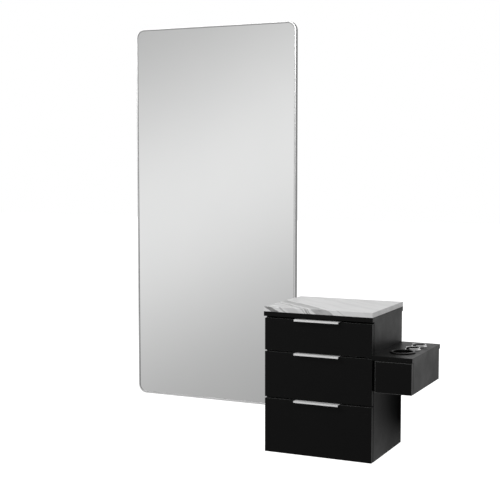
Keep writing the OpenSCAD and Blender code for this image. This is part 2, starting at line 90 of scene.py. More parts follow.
class Surface:
    """A material with one Principled shader, and short calls for the nodes that feed it."""

    def __init__(self, name, **sockets):
        self.material = bpy.data.materials.new(name)
        self.material.use_nodes = True
        self.tree = self.material.node_tree
        self.shader = self.tree.nodes["Principled BSDF"]
        self.place = self.node("ShaderNodeTexCoord").outputs["Object"]
        for socket, value in sockets.items():
            self.shader.inputs[socket.replace("_", " ")].default_value = value

    def node(self, kind, inputs=(), **settings):
        made = self.tree.nodes.new(kind)
        for setting, value in settings.items():
            setattr(made, setting, value)
        for socket, value in dict(inputs).items():
            self.feed(made.inputs[socket], value)
        return made

    def feed(self, socket, value):
        if isinstance(value, bpy.types.NodeSocket):
            self.tree.links.new(value, socket)
        else:
            socket.default_value = value

    def math(self, operation, a, b=0.0):
        return self.node("ShaderNodeMath", {0: a, 1: b}, operation=operation).outputs[0]

    def stretched(self, stretch):
        """The place on the piece, with each axis scaled."""
        scaled = {0: self.place, 1: stretch}
        return self.node("ShaderNodeVectorMath", scaled, operation="MULTIPLY").outputs[0]

    def noise(self, scale, detail=3.0, stretch=(1, 1, 1)):
        inputs = {"Vector": self.stretched(stretch), "Scale": scale, "Detail": detail}
        return self.node("ShaderNodeTexNoise", inputs).outputs["Fac"]

    def spread(self, value, low, high, start=0.3, end=0.7):
        """A value from start to end, carried over to low to high."""
        inputs = {"Value": value, "From Min": start, "From Max": end, "To Min": low, "To Max": high}
        return self.node("ShaderNodeMapRange", inputs).outputs["Result"]

    def mix(self, share, a, b):
        mixer = self.node("ShaderNodeMix", {"Factor": share}, data_type="RGBA")
        self.feed(mixer.inputs[6], a)
        self.feed(mixer.inputs[7], b)
        return mixer.outputs[2]

    def colour(self, value):
        self.feed(self.shader.inputs["Base Color"], value)

    def roughness(self, value):
        self.feed(self.shader.inputs["Roughness"], value)

    def bump(self, height, distance):
        inputs = {"Height": height, "Distance": distance, "Strength": 1.0}
        before = self.shader.inputs["Normal"].links
        if before:
            inputs["Normal"] = before[0].from_socket
        bumped = self.node("ShaderNodeBump", inputs).outputs["Normal"]
        self.feed(self.shader.inputs["Normal"], bumped)


def grey(value, warmth=0.0):
    return (value * (1 + warmth), value, value * (1 - warmth), 1.0)


def laminate(name, tone, gloss, level=0.3):
    """Black laminate: a fine pebble grain, with slow changes of gloss where it was wiped."""
    surface = Surface(name, Specular_IOR_Level=level)
    grain = surface.noise(1100, 2)
    clouds = surface.noise(11, 4)
    tones = surface.mix(surface.spread(grain, 0, 1), grey(tone * 0.6), grey(tone * 1.5))
    surface.colour(tones)
    wiped = surface.spread(clouds, gloss - 0.05, gloss + 0.06)
    surface.roughness(surface.math("ADD", wiped, surface.spread(grain, -0.03, 0.03)))
    surface.bump(grain, 0.00006)
    surface.bump(surface.noise(260, 2), 0.00004)
    return surface.material


# Veins across the slab, counted along its front edge from the left: place, half width, depth
VEINS = (
    (0.040, 0.040, 0.80), (0.128, 0.012, 0.34), (0.225, 0.080, 0.17), (0.335, 0.012, 0.36),
    (0.372, 0.016, 0.60), (0.402, 0.012, 0.50), (0.500, 0.050, 0.44), (0.565, 0.060, 0.52),
    (0.603, 0.016, 0.55), (0.702, 0.007, 0.26), (0.930, 0.050, 0.06), (1.200, 0.070, 0.09),
    (1.420, 0.012, 0.12), (1.600, 0.090, 0.08), (1.860, 0.014, 0.10),
)
VEIN_NORMAL = Vector((0.485, 0.610, 0.628))


def marble(name):
    """White marble with slanting grey veins that run through the slab."""
    surface = Surface(name, Specular_IOR_Level=0.3)
    low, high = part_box("marble_top")
    left_front = Vector((low.x, low.y, high.z))
    right_front = Vector((high.x, low.y, high.z))
    start = VEIN_NORMAL.dot(left_front)
    step = VEIN_NORMAL.dot(right_front) - start
    along = surface.node(
        "ShaderNodeVectorMath", {0: surface.place, 1: VEIN_NORMAL / step}, operation="DOT_PRODUCT"
    ).outputs["Value"]
    wavy = surface.spread(surface.noise(9, 2), -0.04, 0.04, 0.25, 0.75)
    ragged = surface.spread(surface.noise(55, 2), -0.008, 0.008, 0.25, 0.75)
    place = surface.math("ADD", surface.math("SUBTRACT", along, start / step), wavy)
    place = surface.math("ADD", place, ragged)
    depth = None
    for centre, half_width, darkness in VEINS:
        away = surface.math("ABSOLUTE", surface.math("SUBTRACT", place, centre))
        inputs = {"Value": away, "From Min": half_width, "From Max": half_width * 0.55}
        vein = surface.node(
            "ShaderNodeMapRange", {**inputs, "To Max": darkness}, interpolation_type="SMOOTHSTEP"
        ).outputs["Result"]
        depth = vein if depth is None else surface.math("MAXIMUM", depth, vein)
    patchy = surface.spread(surface.noise(24, 3, (1.0, 1.6, 1.0)), 0.75, 1.1)
    depth = surface.math("MULTIPLY", depth, patchy)
    clouds = surface.spread(surface.noise(7, 3, (1, 2.2, 1)), 0.0, 0.07)
    depth = surface.math("ADD", depth, clouds)
    surface.colour(surface.mix(depth, grey(0.70), grey(0.085)))
    surface.roughness(surface.spread(surface.noise(10, 2), 0.33, 0.37))
    return surface.material


def brushed(name, tone, rough, stretch, metal=1.0):
    """Metal with a fine brushed or drawn grain along one axis."""
    surface = Surface(name, Metallic=metal)
    lines = surface.noise(900, 2, stretch)
    broad = surface.noise(14, 3)
    surface.colour(surface.mix(surface.spread(lines, 0, 1), grey(tone * 0.9), grey(tone)))
    worn = surface.spread(broad, rough - 0.04, rough + 0.05)
    surface.roughness(surface.math("ADD", worn, surface.spread(lines, -0.04, 0.04)))
    surface.bump(lines, GRAIN_DEPTH)
    return surface.material


def zinc(name, tone, rough):
    """Zinc plated steel: a mottled, slightly yellow film over a drawn surface."""
    surface = Surface(name, Metallic=1.0)
    patches = surface.noise(160, 4)
    film = surface.mix(surface.spread(patches, 0, 1), grey(tone * 0.86, 0.02), grey(tone, -0.01))
    surface.colour(film)
    surface.roughness(surface.spread(surface.noise(500, 2), rough - 0.07, rough + 0.08))
    surface.bump(surface.noise(1200, 2), GRAIN_DEPTH)
    return surface.material


def polished(name, tone, rough):
    """Bright metal with hairline marks from cleaning."""
    surface = Surface(name, Metallic=1.0)
    marks = surface.noise(700, 2, (1, 1, 0.2))
    surface.colour(surface.mix(surface.spread(marks, 0, 1), grey(tone * 0.97), grey(tone)))
    surface.roughness(surface.spread(marks, rough * 0.6, rough * 1.5))
    return surface.material


def mirror_silver(name):
    """Silvered float glass, with the faintest haze left by cleaning."""
    surface = Surface(name, Metallic=1.0)
    haze = surface.noise(3.5, 4)
    hazed, clear = (0.915, 0.92, 0.918, 1), (0.93, 0.933, 0.93, 1)
    surface.colour(surface.mix(surface.spread(haze, 0, 1), hazed, clear))
    surface.roughness(surface.spread(haze, 0.004, 0.014))
    return surface.material


def moulded(name, tone, gloss, level=0.5, depth=0.00004):
    """Moulded plastic or rubber with a fine spark texture."""
    surface = Surface(name, Specular_IOR_Level=level)
    spark = surface.noise(1600, 2)
    surface.colour(surface.mix(surface.spread(spark, 0, 1), grey(tone * 0.8), grey(tone * 1.2)))
    surface.roughness(surface.spread(surface.noise(60, 3), gloss - 0.05, gloss + 0.06))
    surface.bump(spark, depth)
    return surface.material


def fibreboard(name, light, dark):
    """Raw fibreboard: flecks of fibre on a brown ground."""
    surface = Surface(name, Roughness=0.85, Specular_IOR_Level=0.2)
    flecks = surface.noise(700, 4, (1, 1, 0.5))
    clouds = surface.noise(5, 4)
    fibre = surface.mix(surface.spread(flecks, 0, 1), dark, light)
    surface.colour(surface.mix(surface.spread(clouds, 0, 0.35), fibre, dark))
    surface.roughness(surface.spread(flecks, 0.78, 0.92))
    surface.bump(flecks, 0.0001)
    return surface.material


def beech(name):
    """Plain beech, with short dark flecks along its grain."""
    surface = Surface(name, Specular_IOR_Level=0.3)
    rings = surface.noise(260, 4, (0.15, 1, 1))
    flecks = surface.spread(surface.noise(900, 2, (0.3, 1, 1)), 0, 0.5, 0.55, 0.7)
    wood = surface.mix(surface.spread(rings, 0, 1), (0.52, 0.33, 0.17, 1), (0.68, 0.47, 0.27, 1))
    surface.colour(surface.mix(flecks, wood, (0.32, 0.18, 0.09, 1)))
    surface.roughness(surface.spread(rings, 0.5, 0.65))
    surface.bump(rings, 0.00008)
    return surface.material


DRAWN_ALONG_X = (0.03, 1, 1)

FINISH = {
    "silvered_glass": mirror_silver("silvered_glass"),
    "polished_frame": brushed("polished_frame", 0.88, 0.36, (1, 1, 0.05)),
    "backing_board": fibreboard("backing_board", (0.40, 0.30, 0.20, 1), (0.24, 0.17, 0.11, 1)),
    "bar_aluminium": brushed("bar_aluminium", 0.66, 0.36, DRAWN_ALONG_X),
    "rubber_pad": moulded("rubber_pad", 0.02, 0.75, 0.3, 0.0001),
    "marble": marble("marble"),
    "beech": beech("beech"),
    "zinc_fastener": zinc("zinc_fastener", 0.72, 0.30),
    "slide_steel": zinc("slide_steel", 0.60, 0.34),
    "satin_pull": brushed("satin_pull", 0.78, 0.48, DRAWN_ALONG_X, metal=0.1),
    "drawer_box_board": laminate("drawer_box_board", 0.012, 0.55),
    "drawer_bottom_board": laminate("drawer_bottom_board", 0.014, 0.60),
    "hinge_steel": brushed("hinge_steel", 0.10, 0.42, DRAWN_ALONG_X),
    "catch_plastic": moulded("catch_plastic", 0.012, 0.5),
    "black_ring": moulded("black_ring", 0.003, 0.36, 0.25, 0.00001),
    "chrome_cup": polished("chrome_cup", 0.74, 0.08),
    "black_board": laminate("black_board", 0.0020, 0.38, 0.12),
}
# Second materials for eased pieces: a pale tone on the black boards' roundings that paints a highlight
# along their edges, and a darker satin metal on the mirror frame's sides that also paints shade on them
EDGE_PAINTED_LIGHT_AND_SHADE = {
    "black_board": laminate("board_edge_painted_highlight", 0.09, 0.40, 0.3),
    "polished_frame": brushed("frame_side_painted_shade", 0.32, 0.46, (1, 1, 0.05)),
}


# ---- Making pieces ----

# Points closer than this become one
WELD = 1e-6
# Faces closer to flat than this are one face
FLAT = math.radians(0.5)
# Edges that turn more than this are eased
SHARP = math.radians(40)
# Edges that turn more than this stay hard in the shading
CREASE = math.radians(50)
# How much of a face's normal points up on a board's top edge
FACING_UP = 0.9
LATHE_STEPS = 96


def add_piece(name, shape, body, slot, replaced=()):
    """Makes an object of a bmesh, gives it its slot's finish, and hangs it on a body."""
    mesh = bpy.data.meshes.new(name)
    shape.to_mesh(mesh)
    shape.free()
    mesh.materials.append(FINISH[slot])
    mesh.materials.append(EDGE_PAINTED_LIGHT_AND_SHADE.get(slot, FINISH[slot]))
    for face in mesh.polygons:
        face.use_smooth = True
    mesh.set_sharp_from_angle(angle=CREASE)
    piece = bpy.data.objects.new(name, mesh)
    bpy.context.scene.collection.objects.link(piece)
    piece.modifiers.new("even shading", "WEIGHTED_NORMAL").keep_sharp = True
    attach(piece, body)
    if replaced:
        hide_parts(*replaced)


def soften(shape, width, steps, material=1):
    """Rounds every sharp outer edge, and gives the rounding one of the piece's materials."""
    edges = [
        edge
        for edge in shape.edges
        if len(edge.link_faces) == 2 and edge.is_convex and edge.calc_face_angle() > SHARP
    ]
    bmesh.ops.bevel(
        shape, geom=edges, offset=width, segments=steps, profile=0.5, affect="EDGES",
        clamp_overlap=True, material=material, offset_type="OFFSET",
    )
    bmesh.ops.remove_doubles(shape, verts=shape.verts, dist=WELD)


def clean_copy(node):
    """A bmesh of a CAD node, welded, with its flat faces in one piece each."""
    shape = bmesh.new()
    shape.from_mesh(frame["nodes"][node].data)
    bmesh.ops.remove_doubles(shape, verts=shape.verts, dist=WELD)
    bmesh.ops.dissolve_limit(
        shape, angle_limit=FLAT, use_dissolve_boundaries=False,
        verts=shape.verts, edges=shape.edges,
    )
    for face in shape.faces:
        face.material_index = 0
    return shape


def eased(node, width, steps, material, top_painted_highlight):
    """The CAD node's own shape, with its edges eased as on the real piece. A board with a painted top
    highlight has its top edge in the second material too, a pale tone that paints a highlight on it."""
    shape = clean_copy(node)
    soften(shape, width, steps, material)
    if top_painted_highlight:
        # The top faces of these boards take the pale tone too, a painted highlight
        for face in shape.faces:
            if face.normal.z > FACING_UP:
                face.material_index = 1
    add_piece(node + "_eased", shape, BODY_OF[node], SLOT_OF[node], [node])


def skin(shape, rows, closed_rows):
    """Faces between neighbouring rings of points, and, if the rows are closed, from the last ring
    to the first."""
    for i in range(len(rows) if closed_rows else len(rows) - 1):
        row, after = rows[i], rows[(i + 1) % len(rows)]
        for k in range(len(row)):
            following = (k + 1) % len(row)
            shape.faces.new((row[k], after[k], after[following], row[following]))


def lathe(shape, profile, centre):
    """Turns a closed outline of (radius, height) points round a vertical axis."""
    rings = []
    for step in range(LATHE_STEPS):
        angle = math.tau * step / LATHE_STEPS
        rings.append([
            shape.verts.new(centre + Vector((r * math.cos(angle), r * math.sin(angle), z)))
            for r, z in profile
        ])
    skin(shape, rings, closed_rows=True)


def arc(centre_r, centre_z, radius, start, end, steps=8):
    """Points of (radius, height) along an arc; the angles are in degrees."""
    return [
        (
            centre_r + radius * math.cos(math.radians(start + (end - start) * k / steps)),
            centre_z + radius * math.sin(math.radians(start + (end - start) * k / steps)),
        )
        for k in range(steps + 1)
    ]


def facing_out(shape):
    bmesh.ops.recalc_face_normals(shape, faces=shape.faces)


# ---- Mirror ----

MIRROR_CORNER = 40 * MM
CORNER_STEPS = 20
FRAME_FACE = 8 * MM
FRAME_WALL = 2 * MM
# The slope that runs down from the frame's face to the glass, and the upright edge it ends in
FRAME_LIP = 2.4 * MM
LIP_EDGE = 0.5 * MM
FRAME_EASING = 0.7 * MM
GLASS_CHAMFER = 0.8 * MM
BOARD_CHAMFER = 0.6 * MM
# Faces of the frame whose normal has a greater y than this take the finish of its sides: a satin metal
# in a darker tone, which paints shade on them
FACING_FRONT = -0.93


def round_corners(width, height, radius):
    """Points (x, z) of an upright rectangle with round corners, centred on the origin."""
    points = []
    for corner, (side_x, side_z) in enumerate(((1, 1), (-1, 1), (-1, -1), (1, -1))):
        for step in range(CORNER_STEPS + 1):
            angle = math.radians(90 * (corner + step / CORNER_STEPS))
            x = side_x * (width / 2 - radius) + radius * math.cos(angle)
            z = side_z * (height / 2 - radius) + radius * math.sin(angle)
            points.append((x, z))
    return points


def swept_upright(profile, closed):
    """Carries an outline of (inset, y) points round the mirror's edge."""
    low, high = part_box("mirror_frame")
    width, height = high.x - low.x, high.z - low.z
    middle = (low + high) / 2
    shape = bmesh.new()
    rows = []
    for inset, y in profile:
        loop = round_corners(width - 2 * inset, height - 2 * inset, MIRROR_CORNER - inset)
        rows.append([shape.verts.new((middle.x + x, y, middle.z + z)) for x, z in loop])
    skin(shape, rows, closed_rows=closed)
    if not closed:
        shape.faces.new(rows[0])
        shape.faces.new(rows[-1])
    facing_out(shape)
    return shape


def add_mirror():
    low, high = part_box("mirror_frame")
    glass_low, glass_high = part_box("mirror_glass")
    board_low, board_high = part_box("mirror_backing_board")
    shape = swept_upright(
        (
            (0, high.y), (0, low.y), (FRAME_FACE - FRAME_LIP, low.y),
            (FRAME_FACE, low.y + FRAME_WALL - LIP_EDGE), (FRAME_FACE, low.y + FRAME_WALL),
            (FRAME_WALL, low.y + FRAME_WALL), (FRAME_WALL, high.y),
        ),
        closed=True,
    )
    soften(shape, FRAME_EASING, 3)
    # Every face but the front takes the darker side finish, painted shade
    for face in shape.faces:
        face.material_index = int(face.normal.y > FACING_FRONT)
    add_piece("mirror_frame_eased", shape, "root", "polished_frame", ["mirror_frame"])

    glass_inset = glass_low.x - low.x
    shape = swept_upright(((glass_inset, glass_high.y), (glass_inset, glass_low.y)), closed=False)
    soften(shape, GLASS_CHAMFER, 1)
    add_piece("mirror_glass_ground", shape, "root", "silvered_glass", ["mirror_glass"])

    board_inset = board_low.x - low.x
    shape = swept_upright(((board_inset, board_high.y), (board_inset, board_low.y)), closed=False)
    soften(shape, BOARD_CHAMFER, 1)
    add_piece("mirror_board_cut", shape, "root", "backing_board", ["mirror_backing_board"])


# ---- Rings in the tool box's lid plate ----

DRYER_BORE = 39 * MM
DRYER_WALL = 3 * MM
DRYER_CHAMFER = 0.8 * MM
CUP_BORE = 25 * MM
CUP_WALL = 1 * MM
CUP_VENT = 8 * MM
CUP_FLOOR = 1.5 * MM
# Radii of the cup's bead, of its floor's corner, of its flange's rim and of the throat above it
CUP_BEAD = 1.75 * MM
CUP_CORNER = 2 * MM
CUP_RIM = 0.8 * MM
CUP_THROAT = 1.4 * MM
# How far the flange's underside dips where it meets the wall
CUP_DIP = 0.2 * MM


def ring_axis(node, plate_top):
    """Where a ring's axis meets the plate, its flange's radius, and its lowest and highest z."""
    low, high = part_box(node)
    middle = (low + high) / 2
    return Vector((middle.x, middle.y, plate_top)), (high.x - low.x) / 2, low.z, high.z


def add_dryer_ring(plate_top):
    """A moulded ring with a full round edge, and a sleeve that runs down through the plate."""
    centre, flange, low, high = ring_axis("dryer_ring", plate_top)
    sleeve = plate_top - low
    edge = (high - plate_top) / 2
    profile = [(DRYER_BORE, DRYER_CHAMFER - sleeve)]
    profile += arc(DRYER_BORE + edge, edge, edge, 180, 90)
    profile += arc(flange - edge, edge, edge, 90, -90, 12)
    profile += [
        (DRYER_BORE + DRYER_WALL, 0), (DRYER_BORE + DRYER_WALL, DRYER_CHAMFER - sleeve),
        (DRYER_BORE + DRYER_WALL - DRYER_CHAMFER, -sleeve), (DRYER_BORE + DRYER_CHAMFER, -sleeve),
    ]
    shape = bmesh.new()
    lathe(shape, profile, centre)
    facing_out(shape)
    add_piece("dryer_ring_moulded", shape, "root", "black_ring", ["dryer_ring"])


def add_iron_cup(node, plate_top):
    """A drawn cup: a flange on the plate, a collar with a rolled bead, and a vented floor."""
    centre, flange, low, high = ring_axis(node, plate_top)
    depth = plate_top - low
    outer = CUP_BORE + CUP_WALL
    bead_z = high - plate_top - CUP_BEAD
    profile = [(CUP_VENT, -depth)]
    profile += arc(outer - CUP_CORNER, CUP_CORNER - depth, CUP_CORNER, -90, 0, 5)
    profile += [(outer, -CUP_DIP), (flange, 0)]
    profile += arc(flange - CUP_RIM, CUP_RIM, CUP_RIM, 0, 90, 5)
    profile += arc(outer + CUP_THROAT, 2 * CUP_RIM + CUP_THROAT, CUP_THROAT, -90, -180, 5)
    profile += arc(CUP_BORE + CUP_BEAD, bead_z, CUP_BEAD, -65, 180, 14)
    profile += arc(CUP_BORE - CUP_CORNER, CUP_CORNER + CUP_FLOOR - depth, CUP_CORNER, 0, -90, 5)
    profile += [(CUP_VENT, CUP_FLOOR - depth)]
    shape = bmesh.new()
    lathe(shape, profile, centre)
    facing_out(shape)
    add_piece(node + "_drawn", shape, "root", "chrome_cup", [node])


# ---- Fasteners ----

RING_POINTS = 24


def cross_outline(head_r):
    """A cross recess as 24 points in order, with arms that reach across most of the head."""
    arm, half = 0.60 * head_r, 0.15 * head_r
    quarter = (
        (arm, -half), (arm, 0), (arm, half),
        ((arm + half) / 2, half), (half, half), (half, (arm + half) / 2),
    )
    turns = [Matrix.Rotation(turn * math.pi / 2, 2) for turn in range(4)]
    return [turn @ Vector(point) for turn in turns for point in quarter]


def hexagon_outline(head_r):
    """A hexagon socket as 24 points in order."""
    flat = 0.36 * head_r
    points = []
    for k in range(RING_POINTS):
        angle = math.tau * k / RING_POINTS
        off_flat = (angle + math.pi / 6) % (math.pi / 3) - math.pi / 6
        reach = flat / math.cos(off_flat)
        points.append(Vector((reach * math.cos(angle), reach * math.sin(angle))))
    return points


def add_head(shape, place, outline, head_r, head_h, dish, recess):
    """A round head with a recess, standing on z = 0 of its place and facing -Z.
    Returns its last ring of points, which the shank goes on from."""
    angles = [math.atan2(point.y, point.x) for point in outline]

    def ring(points, z):
        return [shape.verts.new(place @ Vector((x, y, z))) for x, y in points]

    def circle(radius, z):
        return ring([(radius * math.cos(a), radius * math.sin(a)) for a in angles], z)

    rings = [ring([point * 0.72 for point in outline], recess - head_h)]
    shape.faces.new(rings[0])
    rings += [
        ring(outline, -head_h),
        circle(0.72 * head_r, -head_h + 0.2 * dish),
        circle(0.90 * head_r, -head_h + 0.55 * dish),
        circle(head_r, -head_h + dish),
        circle(head_r, 0),
    ]
    skin(shape, rings, closed_rows=False)
    return rings[-1], circle


def add_screw(shape, place, head_r, head_h, shank_r, length):
    """A pan head screw with a cross recess and a pointed tip, driven along +Z of its place."""
    outline = cross_outline(head_r)
    last, circle = add_head(shape, place, outline, head_r, head_h, head_h * 0.55, SCREW_RECESS)
    rings = [
        last, circle(shank_r, 0),
        circle(shank_r, length - 2 * shank_r), circle(shank_r * 0.2, length),
    ]
    skin(shape, rings, closed_rows=False)
    shape.faces.new(rings[-1])


def islands(node):
    """The points of each separate solid of a CAD node."""
    shape = bmesh.new()
    shape.from_mesh(frame["nodes"][node].data)
    bmesh.ops.remove_doubles(shape, verts=shape.verts, dist=WELD)
    waiting = set(shape.verts)
    found = []
    while waiting:
        newest = [waiting.pop()]
        solid = list(newest)
        while newest:
            near = {edge.other_vert(vert) for vert in newest for edge in vert.link_edges} & waiting
            waiting -= near
            newest = list(near)
            solid += newest
        found.append([v.co.copy() for v in solid])
    shape.free()

    def low_corner(points):
        return [min(point[axis] for point in points) for axis in range(3)]

    return sorted(found, key=low_corner)


def span(points, axis):
    values = [point[axis] for point in points]
    return min(values), max(values)


def fastener_frame(points):
    """Where a fastener stands: its axis, both ends along it, and its widest radius at each end."""
    spans = [span(points, axis) for axis in range(3)]
    axis = max(range(3), key=lambda k: spans[k][1] - spans[k][0])
    low, high = spans[axis]
    side = (axis + 1) % 3
    widths = []
    for end in (low, high):
        near = [point for point in points if abs(point[axis] - end) < 0.1 * MM]
        widths.append((span(near, side)[1] - span(near, side)[0]) / 2)
    centre = Vector([(a + b) / 2 for a, b in spans])
    return axis, low, high, widths, centre


def standing(centre, axis, at, sign):
    """The place whose origin is on the axis at `at`, with +Z along the axis, turned by sign."""
    direction = Vector((0, 0, 0))
    direction[axis] = sign
    turn = direction.to_track_quat("Z", "Y").to_matrix().to_4x4()
    origin = centre.copy()
    origin[axis] = at
    return Matrix.Translation(origin) @ turn


SCREW_HEAD_H = 1.8 * MM
SCREW_HEAD_R = 3.5 * MM
SCREW_SHANK_R = 1.8 * MM
SCREW_RECESS = 1.1 * MM
BOLT_HEAD_H = 2.5 * MM
BOLT_SHANK_R = 3 * MM
BOLT_DISH = 1.4 * MM
BOLT_RECESS = 1.9 * MM


def add_screws(node):
    shape = bmesh.new()
    for points in islands(node):
        axis, low, high, widths, centre = fastener_frame(points)
        at, sign = (low + SCREW_HEAD_H, 1) if widths[0] > widths[1] else (high - SCREW_HEAD_H, -1)
        length = high - low - SCREW_HEAD_H
        place = standing(centre, axis, at, sign)
        add_screw(shape, place, SCREW_HEAD_R, SCREW_HEAD_H, SCREW_SHANK_R, length)
    facing_out(shape)
    add_piece(node + "_driven", shape, BODY_OF[node], "zinc_fastener", [node])


def nearest(vert, ring, axis):
    """The number of the ring's point that faces a point at the bolt's other end."""
    def apart(other):
        gap = vert.co - other.co
        gap[axis] = 0
        return gap.length

    return min(range(len(ring)), key=lambda k: apart(ring[k]))


def add_bolts(node):
    """Connecting bolts with a low round head and a hexagon socket at both ends."""
    shape = bmesh.new()
    for points in islands(node):
        axis, low, high, widths, centre = fastener_frame(points)
        ends = []
        for at, sign in ((low + BOLT_HEAD_H, 1), (high - BOLT_HEAD_H, -1)):
            place = standing(centre, axis, at, sign)
            outline = hexagon_outline(widths[0])
            last, circle = add_head(
                shape, place, outline, widths[0], BOLT_HEAD_H, BOLT_DISH, BOLT_RECESS
            )
            shank = circle(BOLT_SHANK_R, 0)
            skin(shape, [last, shank], closed_rows=False)
            ends.append(shank)
        far = sorted(ends[1], key=lambda v: nearest(v, ends[0], axis))
        skin(shape, [ends[0], far], closed_rows=False)
    facing_out(shape)
    add_piece(node + "_driven", shape, BODY_OF[node], "zinc_fastener", [node])


# ---- Drawer slides ----

BALL_PITCH = 11 * MM
RETAINER_T = 0.5 * MM
# How far a ball row stays from the ends of its channel
ROW_MARGIN = 4 * MM


def add_slide_balls(drawer):
    """Two ball retainers for each slide: steel strips that carry rows of balls between the
    nested channels. They lie where the channels overlap at full travel, on the carriage."""
    carriage = drawer + "_slide_carriage"
    outer_low, outer_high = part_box(drawer + "_slide_outers")
    middle_z = (outer_low.z + outer_high.z) / 2
    half_run = (outer_high.y - outer_low.y) / 2
    rear = (outer_low.y + half_run + ROW_MARGIN, outer_high.y - ROW_MARGIN)
    front = (outer_low.y + ROW_MARGIN, outer_low.y + half_run - ROW_MARGIN)
    # For each row: how far the strip's web and tip are from the outer channel's back, half the
    # row's height, the balls' radius, how far the balls are from that back, and the row's run
    rows = (
        (2.0 * MM, 8.0 * MM, 19.9 * MM, 1.35 * MM, 6.2 * MM, rear),
        (5.1 * MM, 10.4 * MM, 15.65 * MM, 1.55 * MM, 8.6 * MM, front),
    )
    strips, balls = bmesh.new(), bmesh.new()
    for side in (-1, 1):
        for web, tip, row_z, ball_r, ball_in, (start, end) in rows:
            outline = (
                (web, -row_z), (tip, -row_z), (tip, RETAINER_T - row_z),
                (web + RETAINER_T, RETAINER_T - row_z), (web + RETAINER_T, row_z - RETAINER_T),
                (tip, row_z - RETAINER_T), (tip, row_z), (web, row_z),
            )
            ends = [
                [
                    strips.verts.new((side * (outer_high.x - off), y, middle_z + z))
                    for off, z in outline
                ]
                for y in (start, end)
            ]
            skin(strips, ends, closed_rows=False)
            strips.faces.new(ends[0])
            strips.faces.new(ends[1])
            count = int((end - start) / BALL_PITCH)
            for k in range(count):
                for level in (-1, 1):
                    spot = Vector((
                        side * (outer_high.x - ball_in), start + (k + 0.5) * BALL_PITCH,
                        middle_z + level * (row_z - RETAINER_T / 2),
                    ))
                    bmesh.ops.create_icosphere(
                        balls, subdivisions=2, radius=ball_r, matrix=Matrix.Translation(spot)
                    )
    facing_out(strips)
    add_piece(drawer + "_slide_retainers", strips, carriage, "slide_steel")
    add_piece(drawer + "_slide_balls", balls, carriage, "chrome_cup")


# ---- Small pads behind the drawer fronts ----

PAD_R = 4 * MM
PAD_T = 1.7 * MM
PAD_ROUND = 0.6 * PAD_T
# How far a pad's middle is from the front's top or bottom edge
PAD_DROP = 14 * MM


def add_front_pads(drawer):
    """Four soft pads on the back of a drawer front, which meet the cabinet's edges."""
    low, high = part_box(drawer + "_drawer_front")
    side_low, side_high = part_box("right_side_panel")
    pad_x = (side_low.x + side_high.x) / 2
    shape = bmesh.new()
    dome = [(PAD_R, 0), (PAD_R, 0.5 * PAD_T)]
    dome += arc(PAD_R - PAD_ROUND, PAD_T - PAD_ROUND, PAD_ROUND, 0, 90, 4)[1:]
    for x in (-pad_x, pad_x):
        for z in (low.z + PAD_DROP, high.z - PAD_DROP):
            rings = []
            for radius, rise in dome:
                rings.append([
                    shape.verts.new((
                        x + radius * math.cos(math.tau * k / RING_POINTS), high.y + rise,
                        z + radius * math.sin(math.tau * k / RING_POINTS),
                    ))
                    for k in range(RING_POINTS)
                ])
            skin(shape, rings, closed_rows=False)
            shape.faces.new(rings[0])
            shape.faces.new(rings[-1])
    facing_out(shape)
    add_piece(drawer + "_front_pads", shape, drawer + "_drawer", "rubber_pad")


# ---- The whole station ----

# How far the sharp edges of each finish are eased
EASING = {
    "black_board": 0.7 * MM,
    "marble": 1.8 * MM,
    "satin_pull": 0.45 * MM,
    "drawer_box_board": 0.5 * MM,
    "drawer_bottom_board": 0.4 * MM,
    "slide_steel": 0.3 * MM,
    "bar_aluminium": 0.3 * MM,
    "hinge_steel": 0.15 * MM,
    "catch_plastic": 0.8 * MM,
    "rubber_pad": 0.8 * MM,
    "beech": 0.6 * MM,
    "zinc_fastener": 0.2 * MM,
}
SCREWS = ("mirror_bar_screws", "carcass_screws") + tuple(d + "_drawer_screws" for d in DRAWERS)
OWN_SHAPES = SCREWS + (
    "mirror_frame", "mirror_glass", "mirror_backing_board", "dryer_ring",
    "front_iron_cup", "rear_iron_cup", "tool_box_bolts",
)

EASING_STEPS = {"marble_top": 4}
# Boards whose edges stay as dark as their faces, where other black boards get a pale tone that paints a
# highlight on their rounding; and boards whose top edge is painted pale too, as a highlight, with a
# wider rounding
DARK_EDGED = ("sub_top", "tool_box_lid_plate")
TOP_PAINTED_HIGHLIGHT = tuple(d + "_drawer_front" for d in DRAWERS) + ("tool_box_door",)
WIDE_EDGE = 1.2 * MM

for node in sorted(frame["nodes"]):
    if node in OWN_SHAPES:
        continue
    top_painted_highlight = node in TOP_PAINTED_HIGHLIGHT
    width = WIDE_EDGE if top_painted_highlight else EASING[SLOT_OF[node]]
    eased(node, width, EASING_STEPS.get(node, 2), int(node not in DARK_EDGED), top_painted_highlight)
add_mirror()
lid_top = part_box("tool_box_lid_plate")[1].z
add_dryer_ring(lid_top)
add_iron_cup("front_iron_cup", lid_top)
add_iron_cup("rear_iron_cup", lid_top)
for node in SCREWS:
    add_screws(node)
add_bolts("tool_box_bolts")
for drawer in DRAWERS:
    add_slide_balls(drawer)
    add_front_pads(drawer)
for node, piece in frame["nodes"].items():
    piece.data.materials[0] = FINISH[SLOT_OF[node]]


# ---- Floor and light ----

# A salon counter stands this far above its floor
COUNTER_HEIGHT = 0.813
FLOOR_SIDE = 40
# What the floor gives off to the camera, on top of the light that falls on it
FLOOR_GLOW = 0.85


